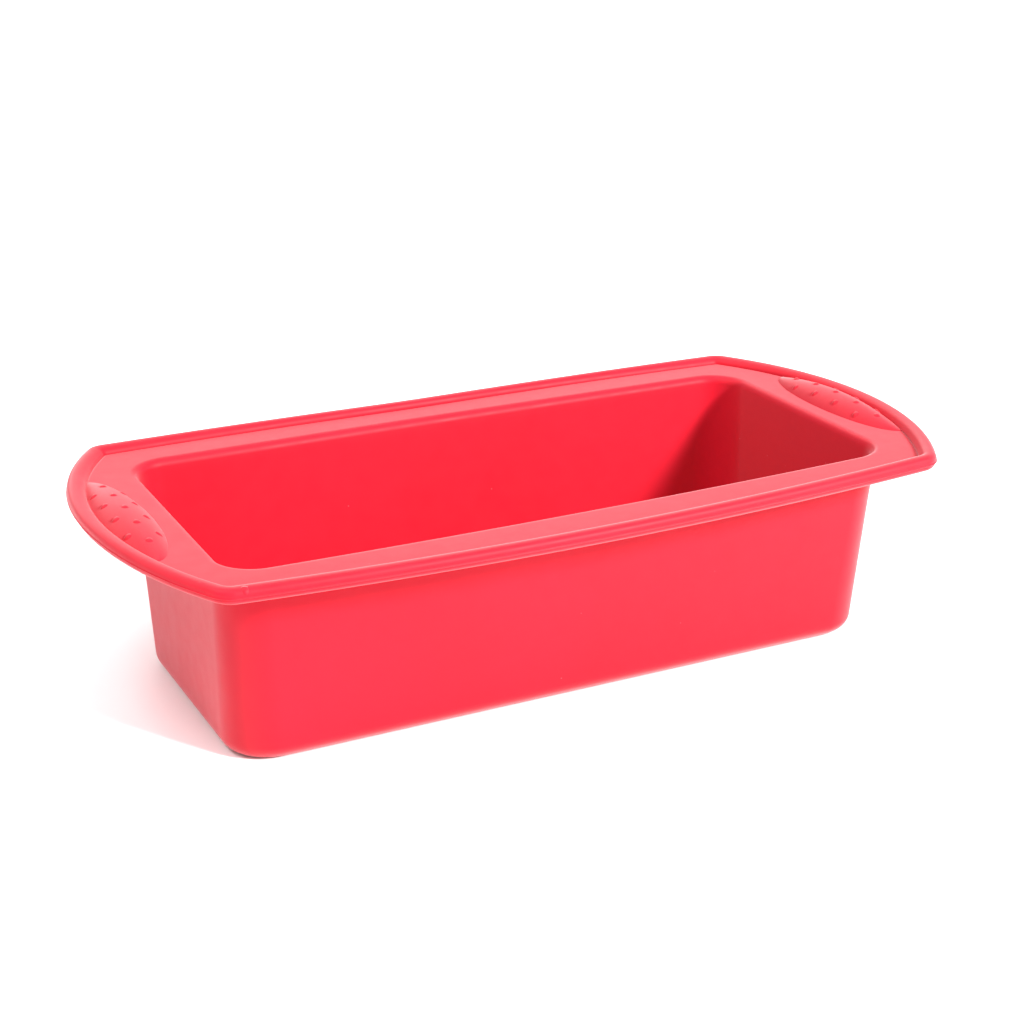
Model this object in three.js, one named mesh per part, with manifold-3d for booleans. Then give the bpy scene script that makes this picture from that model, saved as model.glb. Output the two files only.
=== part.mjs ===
// Silicone soap loaf mould: a tapered tub with a flat rim, a thick bead round the rim,
// and a bowed handle with a dotted grip pad at each end.
// Millimetres, +X along the loaf, +Y to the back, +Z up, origin under the middle of the base.
// The real object is one moulding. Each mesh here is one region of it, closed and separate.
import * as THREE from "three";
import { ConvexGeometry } from "three/addons/geometries/ConvexGeometry.js";
import { mergeVertices } from "three/addons/utils/BufferGeometryUtils.js";
import Module from "manifold-3d";

// Tub: outside sizes at the base, and how far each wall leans out by the height of the rim.
const baseLength = 220;
const baseWidth = 90;
const rimHeight = 64;
const endLean = 2.5;
const sideLean = 4;
const baseCornerRadius = 15;
const topCornerRadius = 13;
const outerFillet = 5;
const innerFillet = 3.2;
const wallThickness = 1.8;
const floorThickness = 2;

// Rim: the flat flange round the mouth, and the roll of its inner edge into the cavity.
const flangeThickness = 2.2;
const lipRoll = 2.5;
const lipShoulder = 0.9;
const shoulderFlare = 0.6;
const endRimAtCorner = 4.8;
const sideRimAtCorner = 15.3;
const sideBow = 4;
const handleReach = 21;
const rimCornerRadius = 8;

// Bead: the thick edge that the whole rim ends in.
const beadWidth = 5.6;
const beadHeight = 5;
const beadProud = 2.2;
const beadRounding = 2.2;

// Grip pad: a low dome on each handle, with three staggered straight rows of dots, each placed by
// its distance from the end of the handle. The dome's uppermost ring lies at the crown angle,
// just short of its pole.
const padLength = 69;
const padWidth = 15.6;
const padHeight = 4.1;
const padClearance = 0.3;
const crownAngle = 0.45 * Math.PI;
const dotRadius = 1.1;
const dotHeight = 0.6;
const dotPitch = 11.7;
const dotSegments = 10;
const dotRows = [
  { fromEnd: 9, dots: 4 },
  { fromEnd: 13.6, dots: 5 },
  { fromEnd: 18.2, dots: 4 },
];

// Gate nub: the small stub that the moulding's feed leaves on the bead.
const nubRadius = 1.3;
const nubProud = 0.6;
const nubFromCorner = 8;
const nubSegments = 12;
const nubRings = 8;

// Where the moulding is divided into regions, and the gap along a curved division.
const baseRegionHeight = 3;
const cornerMargin = 1;
const seamGap = 0.3;

const arcSteps = 8;
const filletSteps = 5;
const edgeSteps = 3;
const sideSteps = 12;
const endSteps = 18;

const silicone = { color: 0xfb4f60, roughness: 0.55, metalness: 0 };

const wasm = await Module();
wasm.setup();

/** A closed three.js geometry as a manifold-3d solid. */
function solidOf(geometry) {
  geometry.deleteAttribute("normal");
  geometry.deleteAttribute("uv");
  const merged = mergeVertices(geometry);
  const vertProperties = merged.attributes.position.array;
  const triVerts = new Uint32Array(merged.index.array);
  return new wasm.Manifold(new wasm.Mesh({ numProp: 3, vertProperties, triVerts }));
}

/** A manifold-3d solid as a named mesh of silicone. */
function siliconeMesh(name, solid) {
  const { vertProperties, triVerts } = solid.getMesh();
  const geometry = new THREE.BufferGeometry();
  geometry.setAttribute("position", new THREE.BufferAttribute(new Float32Array(vertProperties), 3));
  geometry.setIndex(new THREE.BufferAttribute(new Uint32Array(triVerts), 1));
  geometry.computeVertexNormals();
  const mesh = new THREE.Mesh(geometry, new THREE.MeshStandardMaterial(silicone));
  mesh.name = name;
  return mesh;
}

/** A box between two corners, as a solid. */
function block(low, high) {
  const size = high.map((value, axis) => value - low[axis]);
  const middle = high.map((value, axis) => (value + low[axis]) / 2);
  return solidOf(new THREE.BoxGeometry(...size).translate(...middle));
}

/** A plan outline pushed up from one height to another, as a solid. */
function prism(outline, low, high) {
  const settings = { depth: high - low, bevelEnabled: false };
  const geometry = new THREE.ExtrudeGeometry(new THREE.Shape(outline), settings);
  return solidOf(geometry.translate(0, 0, low));
}

// ---- Tub -------------------------------------------------------------------------------

/** The points of a level rounded rectangle, given its half sizes. */
function roundedRing(halfLength, halfWidth, radius, height) {
  const points = [];
  const quarters = [[1, 1], [-1, 1], [-1, -1], [1, -1]];
  quarters.forEach(([alongX, alongY], quarter) => {
    for (let step = 0; step <= arcSteps; step += 1) {
      const angle = ((quarter + step / arcSteps) * Math.PI) / 2;
      const x = alongX * (halfLength - radius) + radius * Math.cos(angle);
      const y = alongY * (halfWidth - radius) + radius * Math.sin(angle);
      points.push(new THREE.Vector3(x, y, height));
    }
  });
  return points;
}

/** The ring of the tub's surface at a height, moved inwards by an inset. */
function tubRing(height, inset) {
  const share = height / rimHeight;
  const halfLength = baseLength / 2 + endLean * share - inset;
  const halfWidth = baseWidth / 2 + sideLean * share - inset;
  const radius = baseCornerRadius + (topCornerRadius - baseCornerRadius) * share - inset;
  return roundedRing(halfLength, halfWidth, radius, height);
}

/** A filled tub: level bottom, rounded bottom edge and leaning walls. */
function filledTub(bottom, top, inset, fillet) {
  const points = [];
  for (let step = 0; step <= filletSteps; step += 1) {
    const angle = ((step / filletSteps) * Math.PI) / 2;
    const height = bottom + fillet * (1 - Math.cos(angle));
    points.push(...tubRing(height, inset + fillet * (1 - Math.sin(angle))));
  }
  points.push(...tubRing(top, inset));
  return solidOf(new ConvexGeometry(points));
}

const flangeUnderside = rimHeight - flangeThickness;
const tubOutside = filledTub(0, flangeUnderside, 0, outerFillet);
const tubCavity = filledTub(floorThickness, rimHeight, wallThickness, innerFillet);
const tub = tubOutside.subtract(tubCavity);

// ---- Rim -------------------------------------------------------------------------------

const mouthHalfLength = baseLength / 2 + endLean - wallThickness + lipRoll;
const mouthHalfWidth = baseWidth / 2 + sideLean - wallThickness + lipRoll;
const cornerX = mouthHalfLength + endRimAtCorner;
const cornerY = mouthHalfWidth + sideRimAtCorner;

/** The circle through both ends of a chord that bows out by a given reach at its middle. */
function bowRadius(halfChord, reach) {
  return (halfChord * halfChord + reach * reach) / (2 * reach);
}

const sideRadius = bowRadius(cornerX, sideBow);
const endRadius = bowRadius(cornerY, handleReach);
const sideCentreY = cornerY + sideBow - sideRadius;
const endCentreX = cornerX + handleReach - endRadius;

/** The middle of the rounding between the back side and the right end of the rim. */
function cornerCentre() {
  const toSide = sideRadius - rimCornerRadius;
  const toEnd = endRadius - rimCornerRadius;
  const between = new THREE.Vector2(endCentreX, -sideCentreY);
  const gap = between.length();
  const along = (toSide * toSide - toEnd * toEnd + gap * gap) / (2 * gap);
  const across = Math.sqrt(toSide * toSide - along * along);
  const forward = between.clone().normalize();
  const x = forward.x * along + forward.y * across;
  const y = forward.y * along - forward.x * across;
  return new THREE.Vector2(x, y + sideCentreY);
}

const roundingCentre = cornerCentre();
const sideToCorner = Math.atan2(roundingCentre.y - sideCentreY, roundingCentre.x);
const endToCorner = Math.atan2(roundingCentre.y, roundingCentre.x - endCentreX);

/** Points along an arc, from its first angle up to, but not including, its last. */
function arcPoints(centreX, centreY, radius, from, to, steps) {
  return Array.from({ length: steps }, (_, step) => {
    const angle = from + ((to - from) * step) / steps;
    return new THREE.Vector2(
      centreX + radius * Math.cos(angle),
      centreY + radius * Math.sin(angle),
    );
  });
}

/** The rim's outline in plan, anticlockwise, moved inwards by an inset. */
function rimOutline(inset) {
  const { x, y } = roundingCentre;
  const end = endRadius - inset;
  const side = sideRadius - inset;
  const corner = rimCornerRadius - inset;
  const turn = Math.PI;
  return [
    ...arcPoints(endCentreX, 0, end, -endToCorner, endToCorner, endSteps),
    ...arcPoints(x, y, corner, endToCorner, sideToCorner, edgeSteps),
    ...arcPoints(0, sideCentreY, side, sideToCorner, turn - sideToCorner, sideSteps),
    ...arcPoints(-x, y, corner, turn - sideToCorner, turn - endToCorner, edgeSteps),
    ...arcPoints(-endCentreX, 0, end, turn - endToCorner, turn + endToCorner, endSteps),
    ...arcPoints(-x, -y, corner, turn + endToCorner, turn + sideToCorner, edgeSteps),
    ...arcPoints(0, -sideCentreY, side, turn + sideToCorner, 2 * turn - sideToCorner, sideSteps),
    ...arcPoints(x, -y, corner, 2 * turn - sideToCorner, 2 * turn - endToCorner, edgeSteps),
  ];
}

/** The mouth's rolled edge, as two stacked flaring solids to cut from the flange. */
function mouthCutters() {
  const shoulder = rimHeight - lipShoulder;
  const low = [
    ...tubRing(flangeUnderside, wallThickness),
    ...tubRing(shoulder, wallThickness - shoulderFlare),
  ];
  const high = [
    ...tubRing(shoulder, wallThickness - shoulderFlare),
    ...tubRing(rimHeight, wallThickness - lipRoll),
  ];
  return [low, high].map((points) => solidOf(new ConvexGeometry(points)));
}

const flangePlate = prism(rimOutline(beadWidth + seamGap), flangeUnderside, rimHeight);
const flange = mouthCutters().reduce((plate, cutter) => plate.subtract(cutter), flangePlate);

// ---- Bead ------------------------------------------------------------------------------

const beadTop = rimHeight + beadProud;
const beadMiddle = beadTop - beadHeight / 2;

/** The bead all round, with both its top and bottom edges rounded. */
function beadRing() {
  const shape = new THREE.Shape(rimOutline(0));
  shape.holes.push(new THREE.Path(rimOutline(beadWidth)));
  const straight = beadHeight - 2 * beadRounding;
  const settings = {
    depth: straight,
    bevelEnabled: true,
    bevelThickness: beadRounding,
    bevelSize: beadRounding,
    bevelOffset: -beadRounding,
    bevelSegments: edgeSteps,
  };
  const geometry = new THREE.ExtrudeGeometry(shape, settings);
  return solidOf(geometry.translate(0, 0, beadMiddle - straight / 2));
}

/** The gate nub, a small ball sunk into the outer face of the bead. */
function gateNub() {
  const x = -cornerX + nubFromCorner;
  const faceY = -sideCentreY - Math.sqrt(sideRadius * sideRadius - x * x);
  const y = faceY + nubRadius - nubProud;
  const ball = new THREE.SphereGeometry(nubRadius, nubSegments, nubRings);
  return solidOf(ball.translate(x, y, beadMiddle));
}

const bead = beadRing().add(gateNub());

// ---- Grip pads -------------------------------------------------------------------------

const padOuterRadius = endRadius - beadWidth - padClearance;
const padTipX = endCentreX + Math.sqrt(padOuterRadius ** 2 - (padLength / 2) ** 2);
const padInnerReach = padWidth - (endCentreX + padOuterRadius - padTipX);

/** The pad's outline at a height, shrunk towards the pad's middle by a scale. */
function padRing(scale, height) {
  const middleX = endCentreX + padOuterRadius - padWidth / 2;
  const halfAngle = Math.asin(padLength / 2 / padOuterRadius);
  const outer = arcPoints(endCentreX, 0, padOuterRadius, -halfAngle, halfAngle, 2 * arcSteps);
  const inner = Array.from({ length: 2 * arcSteps }, (_, step) => {
    const angle = Math.PI / 2 + (Math.PI * step) / (2 * arcSteps);
    return new THREE.Vector2(
      padTipX + padInnerReach * Math.cos(angle),
      (padLength / 2) * Math.sin(angle),
    );
  });
  return [...outer, ...inner].map(
    (point) => new THREE.Vector3(middleX + (point.x - middleX) * scale, point.y * scale, height),
  );
}

/** A low dome over the pad's outline, standing at a height. */
function padDome(bottom) {
  const points = [];
  for (let step = 0; step <= filletSteps; step += 1) {
    const angle = (step / filletSteps) * crownAngle;
    points.push(...padRing(Math.cos(angle), bottom + padHeight * Math.sin(angle) ** 2));
  }
  return solidOf(new ConvexGeometry(points));
}

/** The right-hand pad: a dome, and dots that stand proud of it in rows. */
function rightGripPad() {
  const dotSkin = padDome(rimHeight + dotHeight);
  let pad = padDome(rimHeight);
  for (const { fromEnd, dots } of dotRows) {
    const x = cornerX + handleReach - fromEnd;
    for (let index = 0; index < dots; index += 1) {
      const y = (index - (dots - 1) / 2) * dotPitch;
      const post = new THREE.CylinderGeometry(dotRadius, dotRadius, 2 * rimHeight, dotSegments);
      const dot = solidOf(post.rotateX(Math.PI / 2).translate(x, y, rimHeight));
      pad = pad.add(dotSkin.intersect(dot));
    }
  }
  return pad;
}

// ---- Regions ---------------------------------------------------------------------------

const far = baseLength + baseWidth + rimHeight;
const cornerStartX = baseLength / 2 - baseCornerRadius - cornerMargin;
const cornerStartY = baseWidth / 2 - baseCornerRadius - cornerMargin;
const handleStartY = padLength / 2 + cornerMargin;
const beadEndX = cornerX - rimCornerRadius - cornerMargin;

const handles = new THREE.Group();
const rim = new THREE.Group();
const body = new THREE.Group();

/** The part of a solid between two plan limits and above or below given heights. */
function region(solid, [lowX, highX], [lowY, highY], [lowZ, highZ] = [-far, far]) {
  return solid.intersect(block([lowX, lowY, lowZ], [highX, highY, highZ]));
}

/** The stretch from a start out to far away, on the side given by its sign. */
function outward(start, sign) {
  return sign > 0 ? [start, far] : [-far, -start];
}

const ends = [["left", -1], ["right", 1]];
const sides = [["front", -1], ["back", 1]];
const walls = [baseRegionHeight, far];
const wholeWidth = [-far, far];
const middleX = [-cornerStartX, cornerStartX];
const middleY = [-cornerStartY, cornerStartY];

body.add(siliconeMesh("base_floor", region(tub, wholeWidth, wholeWidth, [-far, baseRegionHeight])));
for (const [side, sign] of sides) {
  const sideY = outward(cornerStartY, sign);
  const flangeY = outward(0, sign);
  const beadX = [-beadEndX, beadEndX];
  body.add(siliconeMesh(`${side}_wall`, region(tub, middleX, sideY, walls)));
  rim.add(siliconeMesh(`${side}_rim_flange`, region(flange, middleX, flangeY)));
  rim.add(siliconeMesh(`${side}_rim_bead`, region(bead, beadX, flangeY)));
}
for (const [end, endSign] of ends) {
  const endX = outward(cornerStartX, endSign);
  const handleY = [-handleStartY, handleStartY];
  body.add(siliconeMesh(`${end}_end_wall`, region(tub, endX, middleY, walls)));
  handles.add(siliconeMesh(`${end}_handle_plate`, region(flange, endX, handleY)));
  const beadX = outward(beadEndX, endSign);
  handles.add(siliconeMesh(`${end}_handle_bead`, region(bead, beadX, wholeWidth)));
  const pad = rightGripPad();
  const placed = endSign > 0 ? pad : pad.rotate([0, 0, 180]);
  handles.add(siliconeMesh(`${end}_grip_pad`, placed));
  for (const [side, sideSign] of sides) {
    const wallY = outward(cornerStartY, sideSign);
    const flangeY = outward(handleStartY, sideSign);
    body.add(siliconeMesh(`${side}_${end}_corner_wall`, region(tub, endX, wallY, walls)));
    rim.add(siliconeMesh(`${side}_${end}_rim_corner`, region(flange, endX, flangeY)));
  }
}

const mould = new THREE.Group();
mould.add(body, rim, handles);

export default mould;
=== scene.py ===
"""Looks of a silicone soap loaf mould: a tapered tub with a flat rim, a rounded bead round the
rim, and a bowed handle with a dotted grip pad at each end. Metres, same frame as the CAD.

The mould is one moulding. The tub and the flat rim are one skin here, because nothing parts them
on the real object. The bead and the grip pads meet that skin at real creases.
"""

import math

import bpy
import numpy as np
from mathutils import Euler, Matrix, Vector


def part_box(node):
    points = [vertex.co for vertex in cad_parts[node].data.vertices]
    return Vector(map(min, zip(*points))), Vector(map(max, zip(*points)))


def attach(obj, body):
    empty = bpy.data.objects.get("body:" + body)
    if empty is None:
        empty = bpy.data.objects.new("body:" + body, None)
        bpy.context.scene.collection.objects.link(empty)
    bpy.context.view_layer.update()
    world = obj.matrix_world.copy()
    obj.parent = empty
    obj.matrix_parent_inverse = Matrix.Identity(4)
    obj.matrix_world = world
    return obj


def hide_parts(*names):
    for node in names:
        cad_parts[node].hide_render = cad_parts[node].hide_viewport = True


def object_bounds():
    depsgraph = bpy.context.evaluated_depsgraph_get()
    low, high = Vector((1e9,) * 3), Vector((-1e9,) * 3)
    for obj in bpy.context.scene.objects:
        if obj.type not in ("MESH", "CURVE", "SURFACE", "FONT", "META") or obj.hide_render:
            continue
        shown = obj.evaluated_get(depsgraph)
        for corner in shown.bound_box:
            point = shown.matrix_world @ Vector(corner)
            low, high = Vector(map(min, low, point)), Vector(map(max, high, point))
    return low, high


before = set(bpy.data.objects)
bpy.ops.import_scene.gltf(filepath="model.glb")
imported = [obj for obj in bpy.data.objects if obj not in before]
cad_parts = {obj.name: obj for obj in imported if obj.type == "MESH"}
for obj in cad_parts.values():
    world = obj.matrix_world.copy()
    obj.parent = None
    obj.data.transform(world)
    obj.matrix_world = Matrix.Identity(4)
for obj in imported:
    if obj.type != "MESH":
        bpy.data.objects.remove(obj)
cad_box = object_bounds()

MM = 0.001

# ---- Sizes, taken from the frame or named here ------------------------------------------

FLANGE_LOW, FLANGE_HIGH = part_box("front_rim_flange")
RIM_TOP = FLANGE_HIGH.z
RIM_UNDER = FLANGE_LOW.z
BEAD_LOW, BEAD_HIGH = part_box("back_rim_bead")
PAD_LOW, PAD_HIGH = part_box("right_grip_pad")
HALF_LENGTH = cad_box[1][0]
HALF_WIDTH = cad_box[1][1]

LIP_ROLL = 2.5 * MM
END_RIM = 4.8 * MM
SIDE_RIM = 15.3 * MM
SIDE_BOW = 4 * MM
HANDLE_REACH = 21 * MM
RIM_CORNER = 8 * MM

CORNER_X = HALF_LENGTH - HANDLE_REACH
CORNER_Y = HALF_WIDTH - SIDE_BOW
MOUTH_X = CORNER_X - END_RIM
MOUTH_Y = CORNER_Y - SIDE_RIM

END_LEAN = 2.5 * MM
SIDE_LEAN = 4 * MM
BASE_CORNER = 15 * MM
TOP_CORNER = 13 * MM
OUTER_FILLET = 5 * MM
INNER_FILLET = 3.2 * MM
WALL = 1.8 * MM
FLOOR = 2 * MM
UNDER_ROUND = 1.6 * MM
CAP_INSET = 34 * MM
BASE_HALF_LENGTH = MOUTH_X + WALL - LIP_ROLL - END_LEAN
BASE_HALF_WIDTH = MOUTH_Y + WALL - LIP_ROLL - SIDE_LEAN

BEAD_WIDTH = 5.6 * MM
BEAD_CREST = 2.5 * MM
CREASE_DEPTH = 0.35 * MM
CREASE_SETTLE = 0.8 * MM

# How many points go round each stretch of a ring.
END_POINTS = 72
CORNER_POINTS = 28
SIDE_POINTS = 140

# ---- Rings ------------------------------------------------------------------------------


def arc(centre_x, centre_y, radius, start, stop, count):
    """Points along an arc in plan, up to but not including its last."""
    angle = np.linspace(start, stop, count, endpoint=False)
    return np.column_stack([centre_x + radius * np.cos(angle), centre_y + radius * np.sin(angle)])


def straight(start, stop, count):
    """Points along a straight line in plan, up to but not including its last."""
    share = np.linspace(0, 1, count, endpoint=False)[:, None]
    return np.array(start) * (1 - share) + np.array(stop) * share


def tub_ring(height, inset):
    """The tub's rounded rectangle at a height, moved inwards, anticlockwise from the right."""
    share = height / RIM_TOP
    x = BASE_HALF_LENGTH + END_LEAN * share - inset
    y = BASE_HALF_WIDTH + SIDE_LEAN * share - inset
    radius = max(BASE_CORNER + (TOP_CORNER - BASE_CORNER) * share - inset, 0.2 * MM)
    in_x, in_y = x - radius, y - radius
    quarter = math.pi / 2
    return np.vstack([
        straight((x, -in_y), (x, in_y), END_POINTS),
        arc(in_x, in_y, radius, 0, quarter, CORNER_POINTS),
        straight((in_x, y), (-in_x, y), SIDE_POINTS),
        arc(-in_x, in_y, radius, quarter, 2 * quarter, CORNER_POINTS),
        straight((-x, in_y), (-x, -in_y), END_POINTS),
        arc(-in_x, -in_y, radius, 2 * quarter, 3 * quarter, CORNER_POINTS),
        straight((-in_x, -y), (in_x, -y), SIDE_POINTS),
        arc(in_x, -in_y, radius, 3 * quarter, 4 * quarter, CORNER_POINTS),
    ])


def bow_radius(half_chord, reach):
    """The radius of an arc that stands out by a given reach from its chord."""
    return (half_chord**2 + reach**2) / (2 * reach)


SIDE_RADIUS = bow_radius(CORNER_X, SIDE_BOW)
END_RADIUS = bow_radius(CORNER_Y, HANDLE_REACH)
SIDE_CENTRE = CORNER_Y + SIDE_BOW - SIDE_RADIUS
END_CENTRE = CORNER_X + HANDLE_REACH - END_RADIUS


def rounding_centre():
    """The middle of the rounding between the back side and the right end of the rim."""
    to_side = SIDE_RADIUS - RIM_CORNER
    to_end = END_RADIUS - RIM_CORNER
    between = np.array([END_CENTRE, -SIDE_CENTRE])
    gap = np.hypot(*between)
    along = (to_side**2 - to_end**2 + gap**2) / (2 * gap)
    across = math.sqrt(to_side**2 - along**2)
    forward = between / gap
    x = forward[0] * along + forward[1] * across
    y = forward[1] * along - forward[0] * across
    return x, y + SIDE_CENTRE


ROUND_X, ROUND_Y = rounding_centre()
SIDE_ANGLE = math.atan2(ROUND_Y - SIDE_CENTRE, ROUND_X)
END_ANGLE = math.atan2(ROUND_Y, ROUND_X - END_CENTRE)


def rim_ring(inset):
    """The rim's outline, moved inwards, in step with tub_ring."""
    end = END_RADIUS - inset
    side = SIDE_RADIUS - inset
    corner = RIM_CORNER - inset
    turn = math.pi
    a, b = END_ANGLE, SIDE_ANGLE
    return np.vstack([
        arc(END_CENTRE, 0, end, -a, a, END_POINTS),
        arc(ROUND_X, ROUND_Y, corner, a, b, CORNER_POINTS),
        arc(0, SIDE_CENTRE, side, b, turn - b, SIDE_POINTS),
        arc(-ROUND_X, ROUND_Y, corner, turn - b, turn - a, CORNER_POINTS),
        arc(-END_CENTRE, 0, end, turn - a, turn + a, END_POINTS),
        arc(-ROUND_X, -ROUND_Y, corner, turn + a, turn + b, CORNER_POINTS),
        arc(0, -SIDE_CENTRE, side, turn + b, 2 * turn - b, SIDE_POINTS),
        arc(ROUND_X, -ROUND_Y, corner, 2 * turn - b, 2 * turn - a, CORNER_POINTS),
    ])


def at_height(ring, height):
    """A plan ring as points in space."""
    return np.column_stack([ring, np.full(len(ring), height)])


def between_rings(outer, inner, share):
    """A ring part of the way from an outer ring to an inner one."""
    return outer * (1 - share) + inner * share


# ---- The lie of the soft rim ------------------------------------------------------------

FRONT_BOW = 3.2 * MM
BACK_SLACK = 3.8 * MM
BACK_MOUTH_BOW = 1 * MM
SLACK_X = -8 * MM
SLACK_SOFTNESS = 0.1
SIDE_SOFTNESS = 20 * MM
HANDLE_LIFT = {"left": 1.8 * MM, "right": 0.2 * MM}
CORNER_LIFT = {"front_left": -1.1 * MM, "front_right": 0.6 * MM, "back": 0.4 * MM}


def smooth_tent(x):
    """One at the slack point of the back edge, and nearly straight down to zero at the corners."""
    reach = np.where(x > SLACK_X, CORNER_X - SLACK_X, CORNER_X + SLACK_X)
    away = np.clip(np.abs(x - SLACK_X) / reach, 0, 1)
    fall = np.hypot(away, SLACK_SOFTNESS) - SLACK_SOFTNESS
    return 1 - fall / (math.hypot(1, SLACK_SOFTNESS) - SLACK_SOFTNESS)


def relax(points):
    """Lets the nominal shape lie as soft silicone does: the rim bows to the front between its
    corners, its back edge hangs slack, its front left corner droops and the handles lift."""
    x, y, z = points[:, 0], points[:, 1], points[:, 2]
    rise = np.clip(z / RIM_TOP, 0, 1.1) ** 2
    side = np.abs(np.tanh(y / SIDE_SOFTNESS))
    arch = np.clip(1 - (x / CORNER_X) ** 2, 0, 1)
    outer = np.clip((np.abs(y) - MOUTH_Y) / SIDE_RIM, 0, 1)
    slack = (BACK_MOUTH_BOW * (1 - outer) - BACK_SLACK * outer) * smooth_tent(x)
    past = np.clip((np.abs(x) - MOUTH_X) / HANDLE_REACH, 0, None)
    share_x = np.clip((x / CORNER_X + 1) / 2, 0, 1)
    share_y = np.clip((y / CORNER_Y + 1) / 2, 0, 1)
    front = CORNER_LIFT["front_left"] * (1 - share_x) + CORNER_LIFT["front_right"] * share_x
    lift = front * (1 - share_y) + CORNER_LIFT["back"] * share_y
    handle = np.where(x < 0, HANDLE_LIFT["left"], HANDLE_LIFT["right"])
    out = points.copy()
    out[:, 1] += np.where(y > 0, slack, -FRONT_BOW * arch) * side * rise
    out[:, 2] += lift * rise + handle * past**1.5
    return out


# ---- Meshes -----------------------------------------------------------------------------


def add_mesh(name, points, faces):
    """A smooth-shaded mesh object in the scene."""
    mesh = bpy.data.meshes.new(name)
    mesh.from_pydata([tuple(p) for p in points], [], faces)
    mesh.validate()
    mesh.polygons.foreach_set("use_smooth", [True] * len(mesh.polygons))
    mesh.update()
    piece = bpy.data.objects.new(name, mesh)
    bpy.context.scene.collection.objects.link(piece)
    return piece


def strip(first, second, count):
    """Quads between two rings of points that start at two indices."""
    return [
        (first + i, first + (i + 1) % count, second + (i + 1) % count, second + i)
        for i in range(count)
    ]


def loft(name, rings, closed):
    """A skin through rings. It closes on itself, or it is capped at its first and last ring."""
    count = len(rings[0])
    points = relax(np.vstack(rings))
    faces = []
    for k in range(len(rings) - 1):
        faces += strip(k * count, (k + 1) * count, count)
    last = (len(rings) - 1) * count
    if closed:
        faces += strip(last, 0, count)
    else:
        faces.append(tuple(range(count - 1, -1, -1)))
        faces.append(tuple(range(last, last + count)))
    return add_mesh(name, points, faces)


def tub_skin():
    """The tub and flat rim, from the middle of the base round to the middle of the floor."""
    rings = []
    for inset in np.linspace(CAP_INSET, OUTER_FILLET, 14):
        rings.append(at_height(tub_ring(0, inset), 0))
    for angle in np.linspace(0, math.pi / 2, 12)[1:]:
        height = OUTER_FILLET * (1 - math.cos(angle))
        rings.append(at_height(tub_ring(height, OUTER_FILLET * (1 - math.sin(angle))), height))
    for height in np.linspace(OUTER_FILLET, RIM_UNDER - UNDER_ROUND, 26)[1:]:
        rings.append(at_height(tub_ring(height, 0), height))
    for angle in np.linspace(0, math.pi / 2, 8)[1:]:
        height = RIM_UNDER - UNDER_ROUND * (1 - math.sin(angle))
        outset = UNDER_ROUND * (1 - math.cos(angle))
        rings.append(at_height(tub_ring(height, -outset), height))
    inner_under = rings[-1][:, :2]
    # The rim's edge is buried in the bead, and rises out of it at the crease.
    buried, buried_drop, crease_lap = 1.2 * MM, 0.5 * MM, 0.4 * MM
    edge = rim_ring(BEAD_WIDTH - buried)
    for share in np.linspace(0, 1, 12)[1:]:
        rings.append(at_height(between_rings(inner_under, edge, share), RIM_UNDER))
    crease = RIM_TOP - CREASE_DEPTH
    rings.append(at_height(edge, crease - buried_drop))
    rings.append(at_height(rim_ring(BEAD_WIDTH - crease_lap), crease))
    for share in np.linspace(0, 1, 6):
        drop = CREASE_DEPTH * (1 - share) ** 2
        rings.append(at_height(rim_ring(BEAD_WIDTH + CREASE_SETTLE * share), RIM_TOP - drop))
    start = rim_ring(BEAD_WIDTH + CREASE_SETTLE)
    mouth = tub_ring(RIM_TOP, WALL - LIP_ROLL)
    for share in np.linspace(0, 1, 30)[1:]:
        rings.append(at_height(between_rings(start, mouth, share), RIM_TOP))
    for angle in np.linspace(0, math.pi / 2, 12)[1:]:
        height = RIM_TOP - LIP_ROLL * (1 - math.cos(angle))
        inset = WALL - LIP_ROLL * (1 - math.sin(angle))
        rings.append(at_height(tub_ring(height, inset), height))
    for height in np.linspace(RIM_TOP - LIP_ROLL, FLOOR + INNER_FILLET, 26)[1:]:
        rings.append(at_height(tub_ring(height, WALL), height))
    for angle in np.linspace(math.pi / 2, 0, 10)[1:]:
        height = FLOOR + INNER_FILLET * (1 - math.cos(angle))
        inset = WALL + INNER_FILLET * (1 - math.sin(angle))
        rings.append(at_height(tub_ring(height, inset), height))
    for inset in np.linspace(WALL + INNER_FILLET, CAP_INSET, 14)[1:]:
        rings.append(at_height(tub_ring(FLOOR, inset), FLOOR))
    return loft("tub_and_flange", rings, closed=False)


def quarter(centre, reach, rise, start, stop, count, power=2.0):
    """Part of a rounded quarter in the bead's section: (inset, height) pairs."""
    angle = np.linspace(start, stop, count)
    cos, sin = np.cos(angle), np.sin(angle)
    inset = centre[0] + reach * np.sign(cos) * np.abs(cos) ** (2 / power)
    height = centre[1] + rise * np.sign(sin) * np.abs(sin) ** (2 / power)
    return list(zip(inset, height))


PARTING_SHARE = 0.48
UPPER_SQUARENESS = 2.3
LOWER_SQUARENESS = 2.4


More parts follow.
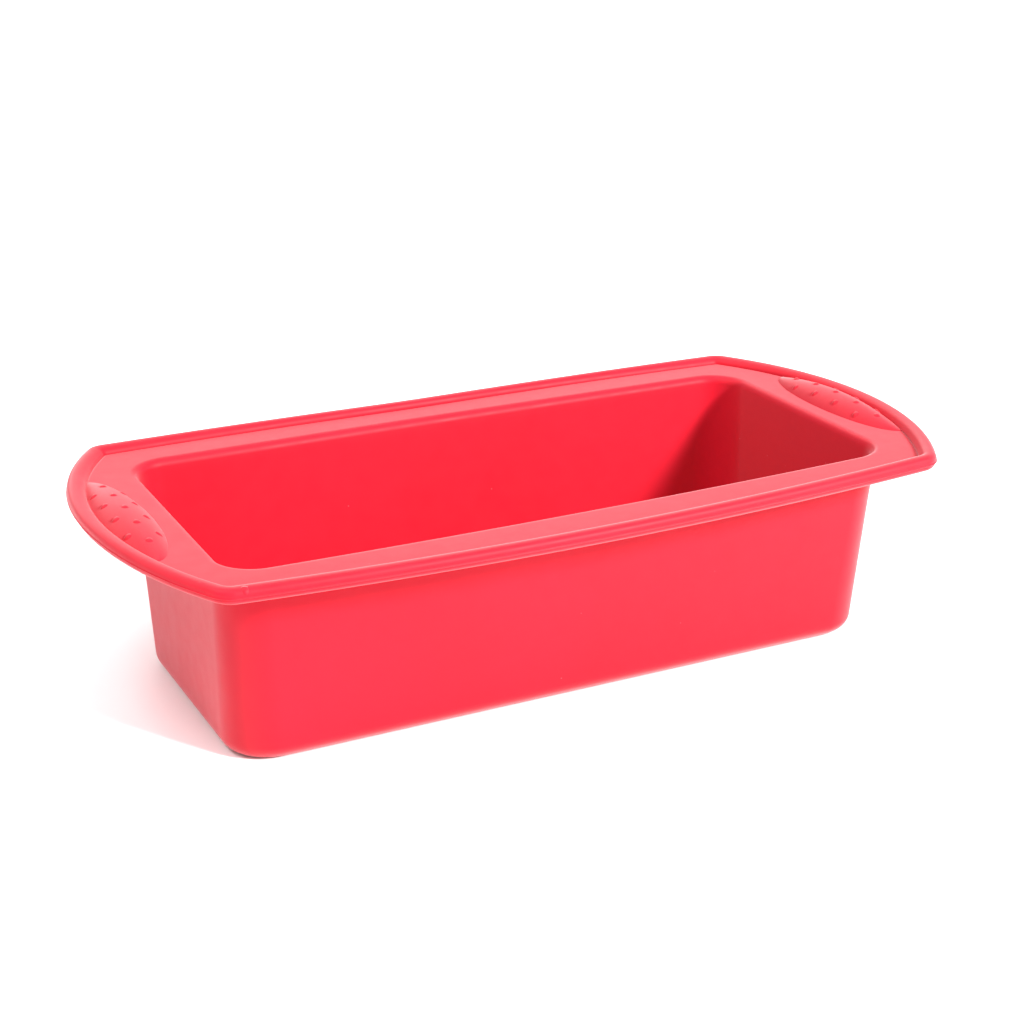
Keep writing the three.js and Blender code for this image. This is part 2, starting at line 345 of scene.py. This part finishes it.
def bead_section():
    """The bead's closed section, as (inset from the outline, height) pairs."""
    top = BEAD_HIGH.z
    bottom = BEAD_LOW.z
    crest = BEAD_CREST
    parting = bottom + PARTING_SHARE * (top - bottom)
    set_back = 0.35 * MM
    flash = 0.14 * MM
    flash_height = 0.24 * MM
    crease = RIM_TOP - CREASE_DEPTH
    root = BEAD_WIDTH - 0.3 * MM
    half = math.pi / 2
    inner = BEAD_WIDTH + 0.1 * MM - crest
    lower = parting - flash_height
    section = quarter(
        (crest, parting), crest, top - parting, math.pi, half, 14, UPPER_SQUARENESS
    )
    section += quarter((crest, crease), inner, top - crease, half, 0, 14)[1:]
    section.append((root, crease - 0.4 * MM))
    section.append((root, RIM_UNDER + 0.5 * MM))
    section += quarter((crest, RIM_UNDER), root - crest, RIM_UNDER - bottom, 0, -half, 9)
    section += quarter(
        (crest, lower), crest - set_back, lower - bottom, -half, -math.pi, 12, LOWER_SQUARENESS
    )[1:]
    section.append((-flash, lower))
    section.append((-flash, lower + 0.7 * flash_height))
    return section


def rim_bead():
    """The bead all round the rim."""
    rings = [at_height(rim_ring(inset), height) for inset, height in bead_section()]
    return loft("rim_bead", rings, closed=True)


NUB_X = -112 * MM
NUB_RADIUS = 1.1 * MM
NUB_PROUD = 0.5 * MM
NUB_INSET = 0.8 * MM
NUB_RISE = 1.2 * MM
NUB_OUT = np.array([-0.1, -0.84, 0.53])
NUB_POINTS = 28
# The nub's outline from its sunk foot to its crown, as (radius, height) shares.
NUB_PROFILE = (
    (1.5, -0.9), (1.3, -0.3), (1.1, 0.12), (0.96, 0.4), (0.78, 0.68), (0.5, 0.9), (0.2, 1),
)


def gate_nub():
    """The small round mark on the front bead where the silicone was let into its mould."""
    y = -(SIDE_CENTRE + math.sqrt((SIDE_RADIUS - NUB_INSET) ** 2 - NUB_X**2))
    middle = np.array([NUB_X, y, RIM_TOP + NUB_RISE])
    out = NUB_OUT / np.linalg.norm(NUB_OUT)
    along = np.cross([0, 0, 1], out)
    along = along / np.linalg.norm(along)
    up = np.cross(out, along)
    turn = np.linspace(0, 2 * math.pi, NUB_POINTS, endpoint=False)[:, None]
    rings = []
    for wide, high in NUB_PROFILE:
        radius = NUB_RADIUS * wide
        around = along * np.cos(turn) * radius + up * np.sin(turn) * radius
        rings.append(middle + around + out * NUB_PROUD * high)
    return loft("gate_nub", rings, closed=False)


# ---- Grip pads --------------------------------------------------------------------------

PAD_HALF = (PAD_HIGH.y - PAD_LOW.y) / 2
PAD_INNER_X = PAD_LOW.x
PAD_OUTER_X = PAD_HIGH.x
DOT_ROWS = ((9 * MM, 4), (13.6 * MM, 5), (18.2 * MM, 4))
DOT_PITCH = 11.7 * MM
DOT_RADIUS = 1.05 * MM
DOT_HEIGHT = 0.5 * MM
DOT_FULLNESS = 0.6
PAD_HEIGHT = 4.1 * MM
PAD_END_FULLNESS = 0.9
PAD_SUNK = 0.3 * MM
PAD_ROWS = 400
PAD_COLUMNS = 96
INTO_BEAD = 0.5 * MM


def pad_limits(y):
    """The pad's inner and outer X at a given Y."""
    outer_radius = PAD_OUTER_X - END_CENTRE
    outer = END_CENTRE + np.sqrt(outer_radius**2 - y**2)
    tip = END_CENTRE + math.sqrt(outer_radius**2 - PAD_HALF**2)
    inner = tip - (tip - PAD_INNER_X) * np.sqrt(np.clip(1 - (y / PAD_HALF) ** 2, 0, 1))
    return inner, outer


def dot_places():
    """The middles of a pad's dots in plan."""
    places = []
    for from_end, dots in DOT_ROWS:
        for index in range(dots):
            places.append((HALF_LENGTH - from_end, (index - (dots - 1) / 2) * DOT_PITCH))
    return places


def pad_top(x, y, across):
    """How high the pad's top stands above the flange; across runs from -1 to 1."""
    ends = np.clip(1 - (y / PAD_HALF) ** 2, 0, 1)
    height = PAD_HEIGHT * ends**PAD_END_FULLNESS * np.clip(1 - across**2, 0, 1)
    for dot_x, dot_y in dot_places():
        near = np.hypot(x - dot_x, y - dot_y) / DOT_RADIUS
        height = height + DOT_HEIGHT * np.clip(1 - near**2, 0, 1) ** DOT_FULLNESS
    return height


def grip_pad(name, sign):
    """A dome with dots over one handle, standing on the flange and running into the bead."""
    wide = PAD_COLUMNS
    y_line = np.linspace(-PAD_HALF, PAD_HALF, PAD_ROWS)[1:-1]
    across_line = np.linspace(0, 1, wide)
    y, across = np.meshgrid(y_line, across_line, indexing="ij")
    inner, outer = pad_limits(y)
    x = inner + (outer + INTO_BEAD - inner) * across
    middle, reach = (inner + outer) / 2, (outer - inner) / 2
    top_height = RIM_TOP + pad_top(x, y, (x - middle) / reach)
    low_height = RIM_UNDER + PAD_SUNK
    top = np.column_stack([x.ravel(), y.ravel(), top_height.ravel()])
    rows = len(y_line)
    low_inner = np.column_stack([x[:, 0], y_line, np.full(rows, low_height)])
    low_outer = np.column_stack([x[:, -1], y_line, np.full(rows, low_height)])
    points = np.vstack([top, low_inner, low_outer])
    if sign < 0:
        points[:, :2] *= -1
    low = rows * wide
    faces = []
    for i in range(rows - 1):
        for j in range(wide - 1):
            a = i * wide + j
            faces.append((a, a + 1, a + wide + 1, a + wide))
        inside, outside = low + i, low + rows + i
        faces.append((i * wide, (i + 1) * wide, inside + 1, inside))
        faces.append(((i + 1) * wide - 1, outside, outside + 1, (i + 2) * wide - 1))
        faces.append((inside, inside + 1, outside + 1, outside))
    last = rows - 1
    faces.append(tuple(range(wide)[::-1]) + (low, low + rows))
    faces.append(tuple(range(last * wide, rows * wide)) + (low + rows + last, low + last))
    return add_mesh(name, relax(points), faces)


# ---- Wear -------------------------------------------------------------------------------

# The mean bend of the surface, per metre, at which an edge is fully rubbed. The least square
# keeps a very short edge from counting without limit.
FULL_WEAR_BEND = 420
LEAST_SQUARE = 1e-10


def mark_worn(piece):
    """Marks how far each point stands out from its neighbours, from 0 to 1, as "worn"."""
    mesh = piece.data
    points = np.empty(len(mesh.vertices) * 3)
    mesh.vertices.foreach_get("co", points)
    normals = np.empty(len(mesh.vertices) * 3)
    mesh.vertex_normals.foreach_get("vector", normals)
    ends = np.empty(len(mesh.edges) * 2, dtype=np.int32)
    mesh.edges.foreach_get("vertices", ends)
    points, normals, ends = points.reshape(-1, 3), normals.reshape(-1, 3), ends.reshape(-1, 2)
    span = points[ends[:, 1]] - points[ends[:, 0]]
    square = np.maximum(np.sum(span**2, axis=1), LEAST_SQUARE)
    bend = np.zeros(len(points))
    meets = np.zeros(len(points))
    for side, sign in ((0, -1), (1, 1)):
        lean = np.sum(span * normals[ends[:, side]], axis=1)
        np.add.at(bend, ends[:, side], sign * 2 * lean / square)
        np.add.at(meets, ends[:, side], 1)
    worn = np.clip(bend / np.maximum(meets, 1) / FULL_WEAR_BEND, 0, 1)
    layer = mesh.attributes.new("worn", "FLOAT", "POINT")
    layer.data.foreach_set("value", worn.astype(np.float32))


# ---- Material ---------------------------------------------------------------------------


def add_node(tree, kind, **inputs):
    """A new shader node with some of its inputs set by name."""
    made = tree.nodes.new(kind)
    for name, value in inputs.items():
        made.inputs[name].default_value = value
    return made


def noise(tree, coords, scale, detail):
    """Soft noise over the surface, about 1 / scale metres across."""
    made = add_node(tree, "ShaderNodeTexNoise", Scale=scale, Detail=detail)
    tree.links.new(coords, made.inputs["Vector"])
    return made.outputs["Fac"]


def remap(tree, value, low, high, out_low, out_high):
    """A value taken from one range to another, held inside it."""
    made = tree.nodes.new("ShaderNodeMapRange")
    ends = {"From Min": low, "From Max": high, "To Min": out_low, "To Max": out_high}
    for name, level in ends.items():
        made.inputs[name].default_value = level
    tree.links.new(value, made.inputs["Value"])
    return made.outputs["Result"]


def combine(tree, operation, first, second):
    """Two values put together; the second may be a plain number."""
    made = tree.nodes.new("ShaderNodeMath")
    made.operation = operation
    tree.links.new(first, made.inputs[0])
    if isinstance(second, float):
        made.inputs[1].default_value = second
    else:
        tree.links.new(second, made.inputs[1])
    return made.outputs["Value"]


def tint(tree, base, colour, share):
    """A colour, linked or plain, mixed with another by a share."""
    made = tree.nodes.new("ShaderNodeMix")
    made.data_type = "RGBA"
    if isinstance(base, tuple):
        made.inputs["A"].default_value = base
    else:
        tree.links.new(base, made.inputs["A"])
    made.inputs["B"].default_value = colour
    tree.links.new(share, made.inputs["Factor"])
    return made.outputs["Result"]


def specks(tree, coords, scale, radius, chosen):
    """Sparse round specks of dust: the middles of a few of the cells of a cell pattern."""
    cells = add_node(tree, "ShaderNodeTexVoronoi", Scale=scale)
    tree.links.new(coords, cells.inputs["Vector"])
    spot = remap(tree, cells.outputs["Distance"], radius * 0.6, radius, 1.0, 0.0)
    parts = tree.nodes.new("ShaderNodeSeparateColor")
    tree.links.new(cells.outputs["Color"], parts.inputs["Color"])
    kept = combine(tree, "GREATER_THAN", parts.outputs["Red"], 1.0 - chosen)
    return combine(tree, "MULTIPLY", spot, kept)


def bumped(tree, height, distance, strength, under=None):
    """A bump from a height, on top of another bump if there is one."""
    made = add_node(tree, "ShaderNodeBump", Distance=distance, Strength=strength)
    tree.links.new(height, made.inputs["Height"])
    if under is not None:
        tree.links.new(under, made.inputs["Normal"])
    return made.outputs["Normal"]


RED = (0.54, 0.005, 0.02, 1)
DEEP_RED = (0.51, 0.004, 0.017, 1)
RUBBED_RED = (0.56, 0.012, 0.028, 1)
DUST = (0.56, 0.17, 0.19, 1)


# How many waves of each kind of unevenness go into a metre.
BROAD_WAVES = 16
MOTTLE_WAVES = 170
GRAIN_WAVES = 2600
DUST_CELLS = 190


def silicone():
    """Satin coral-red silicone: coloured through, slightly translucent, with a powdery bloom."""
    material = bpy.data.materials.new("silicone")
    material.use_nodes = True
    tree = material.node_tree
    shader = tree.nodes["Principled BSDF"]
    coords = tree.nodes.new("ShaderNodeTexCoord").outputs["Object"]
    broad = noise(tree, coords, BROAD_WAVES, 2)
    mottle = noise(tree, coords, MOTTLE_WAVES, 3)
    grain = noise(tree, coords, GRAIN_WAVES, 2)
    worn = tree.nodes.new("ShaderNodeAttribute")
    worn.attribute_name = "worn"
    patchy = remap(tree, mottle, 0.35, 0.65, 0.3, 1)
    rubbed = combine(tree, "MULTIPLY", worn.outputs["Fac"], patchy)
    dust = specks(tree, coords, DUST_CELLS, 0.045, 0.16)
    colour = tint(tree, RED, DEEP_RED, remap(tree, broad, 0.35, 0.65, 0, 1))
    colour = tint(tree, colour, RUBBED_RED, combine(tree, "MULTIPLY", rubbed, 0.6))
    colour = tint(tree, colour, DUST, combine(tree, "MULTIPLY", dust, 0.5))
    tree.links.new(colour, shader.inputs["Base Color"])
    satin = remap(tree, mottle, 0.3, 0.7, 0.47, 0.56)
    rough = combine(tree, "ADD", satin, combine(tree, "MULTIPLY", dust, 0.2))
    tree.links.new(rough, shader.inputs["Roughness"])
    wave = bumped(tree, broad, 0.0012, 0.25)
    skin = bumped(tree, mottle, 0.00006, 0.35, wave)
    skin = bumped(tree, grain, 0.00002, 0.5, skin)
    tree.links.new(skin, shader.inputs["Normal"])
    shader.inputs["IOR"].default_value = 1.25
    shader.inputs["Subsurface Weight"].default_value = 0.15
    shader.inputs["Subsurface Radius"].default_value = (1, 0.22, 0.16)
    shader.inputs["Subsurface Scale"].default_value = 0.0015
    shader.inputs["Sheen Weight"].default_value = 0.4
    shader.inputs["Sheen Roughness"].default_value = 0.42
    shader.inputs["Sheen Tint"].default_value = (1, 0.85, 0.87, 1)
    return material


SILICONE = silicone()

REPLACED = {
    "tub_and_flange": [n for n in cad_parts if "wall" in n or n == "base_floor"
                       or "rim_flange" in n or "rim_corner" in n or "handle_plate" in n],
    "rim_bead": [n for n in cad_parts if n.endswith("bead")],
    "gate_nub": [],
    "left_grip": ["left_grip_pad"],
    "right_grip": ["right_grip_pad"],
}

pieces = [tub_skin(), rim_bead(), gate_nub(), grip_pad("left_grip", -1), grip_pad("right_grip", 1)]
for piece in pieces:
    piece.data.materials.append(SILICONE)
    mark_worn(piece)
    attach(piece, "root")
    if REPLACED[piece.name]:
        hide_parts(*REPLACED[piece.name])

# ---- Stage ------------------------------------------------------------------------------


def pale_material(name, level):
    """A plain, matt, pale material."""
    material = bpy.data.materials.new(name)
    material.use_nodes = True
    shader = material.node_tree.nodes["Principled BSDF"]
    shader.inputs["Base Color"].default_value = (level, level, level, 1)
    shader.inputs["Roughness"].default_value = 0.9
    return material


FLOOR_REACH = 6.0
FLOOR_LEVEL = 0.95


def floor():
    """A plain pale floor, much wider than the view."""
    reach = FLOOR_REACH
    corners = [(-reach, -reach, 0), (reach, -reach, 0), (reach, reach, 0), (-reach, reach, 0)]
    piece = add_mesh("floor", corners, [(0, 1, 2, 3)])
    piece.data.materials.append(pale_material("floor", FLOOR_LEVEL))


def soft_light(name, place, aim, size, power):
    """A square area light that faces a point."""
    light = bpy.data.lights.new(name, "AREA")
    light.size = size
    light.energy = power
    lamp = bpy.data.objects.new(name, light)
    lamp.location = place
    direction = np.array(aim) - np.array(place)
    yaw = math.atan2(direction[0], -direction[1])
    tilt = math.atan2(math.hypot(direction[0], direction[1]), -direction[2])
    lamp.rotation_euler = Euler((tilt, 0, yaw + math.pi), "XYZ")
    bpy.context.scene.collection.objects.link(lamp)


AIM = (0, 0, 0.03)
# Azimuth and elevation in degrees, then distance and size in metres, and watts.
LIGHTS = {
    "key": (-60, 30, 2.2, 0.35, 92),
    "fill": (-170, 62, 2.2, 1.0, 28),
    "overhead": (0, 88, 2.2, 1.5, 10),
    "back": (75, 38, 3.4, 1.6, 14),
}
SKY = 0.66


def studio():
    """Soft white surroundings, the lamps and the floor."""
    world = bpy.data.worlds.new("studio")
    world.use_nodes = True
    background = world.node_tree.nodes["Background"]
    background.inputs["Color"].default_value = (1, 1, 1, 1)
    background.inputs["Strength"].default_value = SKY
    bpy.context.scene.world = world
    for name, (azimuth, elevation, distance, size, power) in LIGHTS.items():
        turn, rise = math.radians(azimuth), math.radians(elevation)
        level = distance * math.cos(rise)
        height = AIM[2] + distance * math.sin(rise)
        place = (level * math.cos(turn), level * math.sin(turn), height)
        soft_light(name, place, AIM, size, power)
    floor()


CAMERA_PLACE = (-0.2631, -0.5184, 0.2665)
LOOK_DOWN = 20.8
ROLL = -0.16
HEADING = -26.88


def camera():
    """The camera: to the left of the mould's front, looking down into it."""
    data = bpy.data.cameras.new("camera")
    data.sensor_width = 36
    data.lens = 68.05
    piece = bpy.data.objects.new("camera", data)
    piece.location = CAMERA_PLACE
    angles = [math.radians(angle) for angle in (90 - LOOK_DOWN, ROLL, HEADING)]
    piece.rotation_euler = Euler(angles, "XYZ")
    bpy.context.scene.collection.objects.link(piece)
    bpy.context.scene.camera = piece


studio()
camera()
view = bpy.context.scene.view_settings
view.view_transform = "Standard"
view.look = "None"
view.exposure = 0
